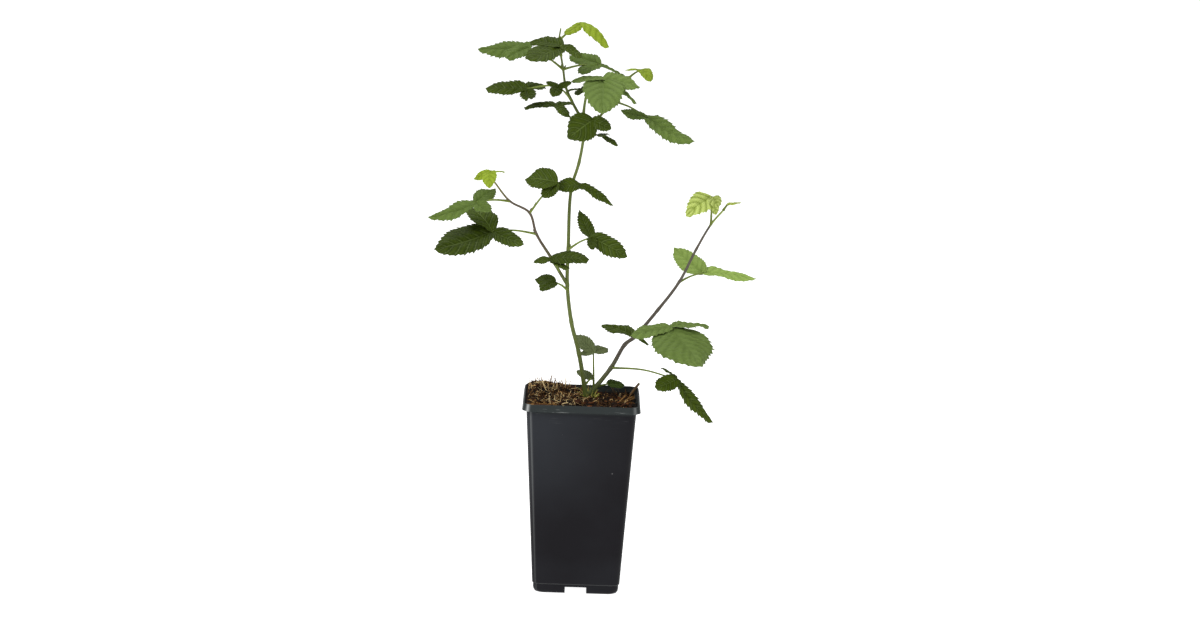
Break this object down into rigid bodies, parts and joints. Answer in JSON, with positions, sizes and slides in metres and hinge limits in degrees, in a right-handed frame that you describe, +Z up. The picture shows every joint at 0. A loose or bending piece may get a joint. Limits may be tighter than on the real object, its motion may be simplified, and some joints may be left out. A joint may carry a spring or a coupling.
{
  "type": "potted hybrid bramble plant",
  "caption": "Young hybrid bramble in a tall square growing pot, with a green main stem, side shoot, arching cane and toothed compound leaves.",
  "frame": {"origin": "middle of the bottom of the whole plant's box, level with the undersides of the pot's feet", "axes": "+Z up, -Y towards the viewer of the picture, +X to the viewer's right"},
  "size_m": [0.3084, 0.1708, 0.5318],
  "materials": {
    "pot_plastic": "satin",
    "potting_mix": "rough",
    "green_stem": "satin",
    "brown_cane": "satin",
    "dead_wood": "rough",
    "leaf_dark": "matte",
    "leaf_mid": "matte",
    "leaf_pale": "matte",
    "leaf_grey": "matte",
    "leaf_tip": "matte"
  },
  "bodies": {
    "root": {"pot": "pot_plastic", "potting_mix": "potting_mix", "main_stem": "green_stem", "left_leader": "green_stem", "right_leader": "green_stem", "left_shoot": "brown_cane", "right_cane": "brown_cane", "dead_stub": "dead_wood", "left_leader_leaf_1": "leaf_tip", "left_leader_leaf_2": "leaf_mid", "left_leader_leaf_3": "leaf_dark", "left_leader_leaf_4": "leaf_mid", "left_leader_leaf_5": "leaf_dark", "left_leader_leaf_6": "leaf_dark", "main_stem_leaf_1": "leaf_pale", "main_stem_leaf_2": "leaf_dark", "main_stem_leaf_3": "leaf_dark", "main_stem_leaf_4": "leaf_dark", "main_stem_leaf_5": "leaf_dark", "main_stem_leaf_6": "leaf_dark", "main_stem_leaf_7": "leaf_dark", "main_stem_leaf_8": "leaf_grey", "right_leader_leaf_1": "leaf_dark", "right_leader_leaf_2": "leaf_mid", "right_leader_leaf_3": "leaf_tip", "left_shoot_leaf_1": "leaf_dark", "left_shoot_leaf_2": "leaf_dark", "left_shoot_leaf_3": "leaf_mid", "left_shoot_leaf_4": "leaf_tip", "left_shoot_leaf_5": "leaf_dark", "right_cane_leaf_1": "leaf_tip", "right_cane_leaf_2": "leaf_tip", "right_cane_leaf_3": "leaf_pale", "right_cane_leaf_4": "leaf_pale", "right_cane_leaf_5": "leaf_dark", "right_cane_leaf_6": "leaf_dark", "right_cane_leaf_7": "leaf_grey", "right_cane_leaf_8": "leaf_grey"}
  },
  "joints": []
}
